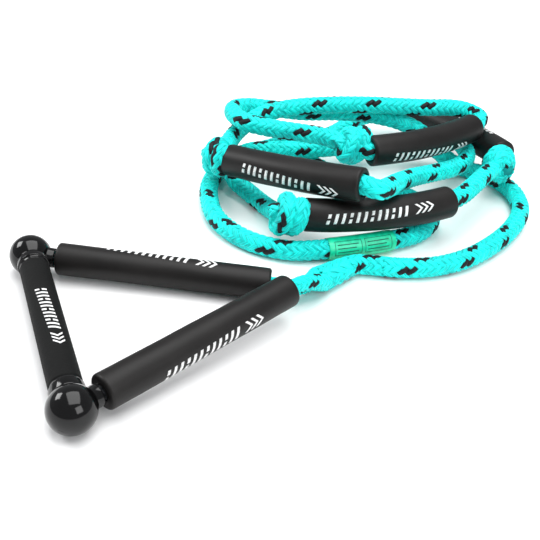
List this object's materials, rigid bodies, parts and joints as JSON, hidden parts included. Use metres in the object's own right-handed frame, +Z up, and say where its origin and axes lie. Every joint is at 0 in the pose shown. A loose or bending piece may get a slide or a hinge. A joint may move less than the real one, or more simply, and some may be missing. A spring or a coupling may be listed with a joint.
{
  "type": "tow rope handle",
  "caption": "Floating tow handle for water sports: a foam-covered bar between ball ends, a rope bridle in foam floats, and a coiled rope with knots, floats, a label sleeve and an eye.",
  "frame": {"origin": "on the floor, midway between the end balls in X, and midway along the handle and bridle in Y", "axes": "+X along the handle bar towards the near ball, +Y along the pull towards the line, +Z up from the floor"},
  "size_m": [0.5295, 0.6648, 0.1074],
  "materials": {
    "rope": "braided polypropylene rope, bright turquoise with black tracer yarns",
    "float_foam": "satin closed-cell foam, near black",
    "grip_foam": "matt textured foam grip",
    "cap_plastic": "gloss moulded plastic, black",
    "tube_alloy": "satin drawn tube",
    "core_foam": "closed-cell foam plug",
    "label_film": "heat-shrunk green film"
  },
  "bodies": {
    "line": {"line_rope_1": "rope", "line_rope_2": "rope", "line_rope_3": "rope", "line_rope_4": "rope", "line_rope_5": "rope", "line_knot_1": "rope", "line_knot_2": "rope", "line_knot_3": "rope", "line_knot_4": "rope", "line_float_1": "float_foam", "line_float_2": "float_foam", "line_float_3": "float_foam", "line_float_4": "float_foam", "label_sleeve": "label_film", "eye_splice": "rope", "tow_eye": "rope"},
    "bridle": {"bridle_rope_near": "rope", "bridle_rope_far": "rope", "throat_splice": "rope"},
    "near_float": {"bridle_float_near": "float_foam"},
    "far_float": {"bridle_float_far": "float_foam"},
    "handle": {"handle_tube": "tube_alloy", "flotation_core": "core_foam", "grip_sleeve": "grip_foam", "end_cap_near": "cap_plastic", "end_cap_far": "cap_plastic", "stopper_knot_near": "rope", "stopper_knot_far": "rope"}
  },
  "joints": [
    {"name": "bridle_lift", "type": "hinge", "parent": "line", "child": "bridle", "pos_m": [-0.032, 0.17, 0.012], "axis": [-1, 0, 0], "range_deg": [0, 50]},
    {"name": "handle_roll", "type": "hinge", "parent": "bridle", "child": "handle", "pos_m": [0, -0.16, 0.021], "axis": [1, 0, 0], "range_deg": [-15, 15]},
    {"name": "near_float_spin", "type": "hinge", "parent": "bridle", "child": "near_float", "pos_m": [0.118, -0.16, 0.021], "axis": [-0.3903, 0.9196, 0.0454], "continuous": true},
    {"name": "far_float_spin", "type": "hinge", "parent": "bridle", "child": "far_float", "pos_m": [-0.118, -0.16, 0.021], "axis": [0.4289, 0.9032, -0.0157], "continuous": true}
  ]
}
